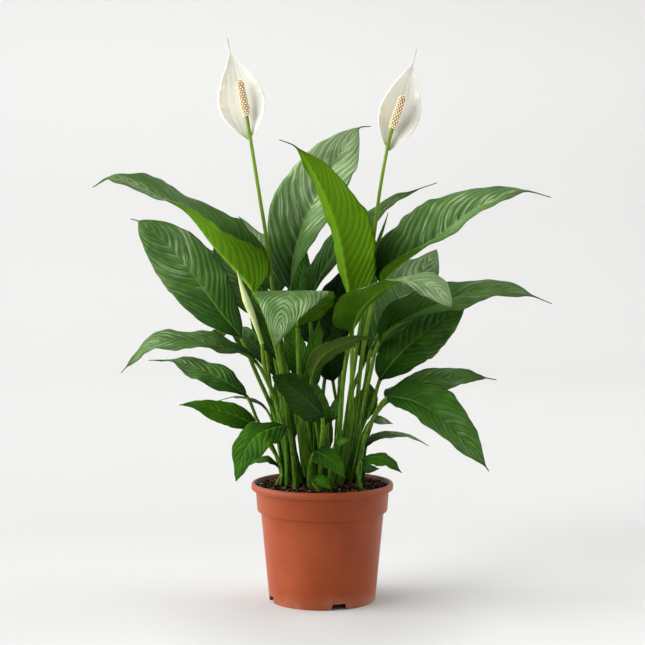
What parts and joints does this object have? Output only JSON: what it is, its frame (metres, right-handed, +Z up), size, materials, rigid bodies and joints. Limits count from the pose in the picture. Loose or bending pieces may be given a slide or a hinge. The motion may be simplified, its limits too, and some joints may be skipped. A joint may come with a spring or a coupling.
{
  "type": "potted peace lily",
  "caption": "Peace lily in a round nursery pot: a clump of long-stalked pointed leaves, white hooded flowers on tall scapes and a closed bud, standing in dark peat.",
  "frame": {"origin": "middle of the circle that the pot stands on, which is the middle of the plant's bounding box to within 2 mm", "axes": "+Z up; -Y is the side that the picture shows; +X is to the right in the picture"},
  "size_m": [0.5417, 0.3199, 0.6662],
  "materials": {
    "leaf": "satin, waxy, with sunk side veins",
    "stalk": "satin, smooth",
    "spathe": "matt, finely veined, a little translucent",
    "spadix": "matt, close-set small florets",
    "bud": "satin",
    "pot": "moulded, satin",
    "soil": "rough crumbs and fibres"
  },
  "bodies": {
    "root": {"leaf_left_crest": "leaf", "leaf_left_broad": "leaf", "leaf_left_arching": "leaf", "leaf_left_low": "leaf", "leaf_left_young": "leaf", "leaf_left_inner": "leaf", "leaf_left_pale": "leaf", "leaf_left_soil": "leaf", "leaf_front_left_low": "leaf", "leaf_front_left_drooping": "leaf", "leaf_front_tall": "leaf", "leaf_front_right_arching": "leaf", "leaf_front_low": "leaf", "leaf_front_tiny": "leaf", "leaf_front_dark": "leaf", "leaf_front_olive": "leaf", "leaf_soil_small": "leaf", "leaf_back_tall": "leaf", "leaf_back_right_dark": "leaf", "leaf_back_shade": "leaf", "leaf_back_slim": "leaf", "leaf_back_left_small": "leaf", "leaf_back_left": "leaf", "leaf_spear": "leaf", "leaf_right_high": "leaf", "leaf_right_level": "leaf", "leaf_right_back": "leaf", "leaf_right_broad": "leaf", "leaf_right_low_far": "leaf", "leaf_right_low_near": "leaf", "leaf_right_sliver": "leaf", "leaf_right_small": "leaf", "leaf_right_small_back": "leaf", "leaf_right_tiny": "leaf", "leaf_right_inner": "leaf", "leaf_centre_gap": "leaf", "leaf_centre_bright": "leaf", "leaf_centre_back": "leaf", "leaf_centre_slim": "leaf", "leaf_centre_shade": "leaf", "leaf_behind_middle": "leaf", "leaf_behind_right": "leaf", "leaf_behind_left": "leaf", "leaf_behind_low_right": "leaf", "leaf_behind_low_left": "leaf", "leaf_behind_low": "leaf", "leaf_behind_tall": "leaf", "leaf_behind_high_right": "leaf", "leaf_behind_high_left": "leaf", "leaf_behind_side_right": "leaf", "scape_left": "stalk", "scape_right": "stalk", "spathe_left": "spathe", "spathe_right": "spathe", "spadix_left": "spadix", "spadix_right": "spadix", "bud_stalk": "stalk", "bud_spathe": "bud", "pot": "pot", "soil": "soil"}
  },
  "joints": []
}
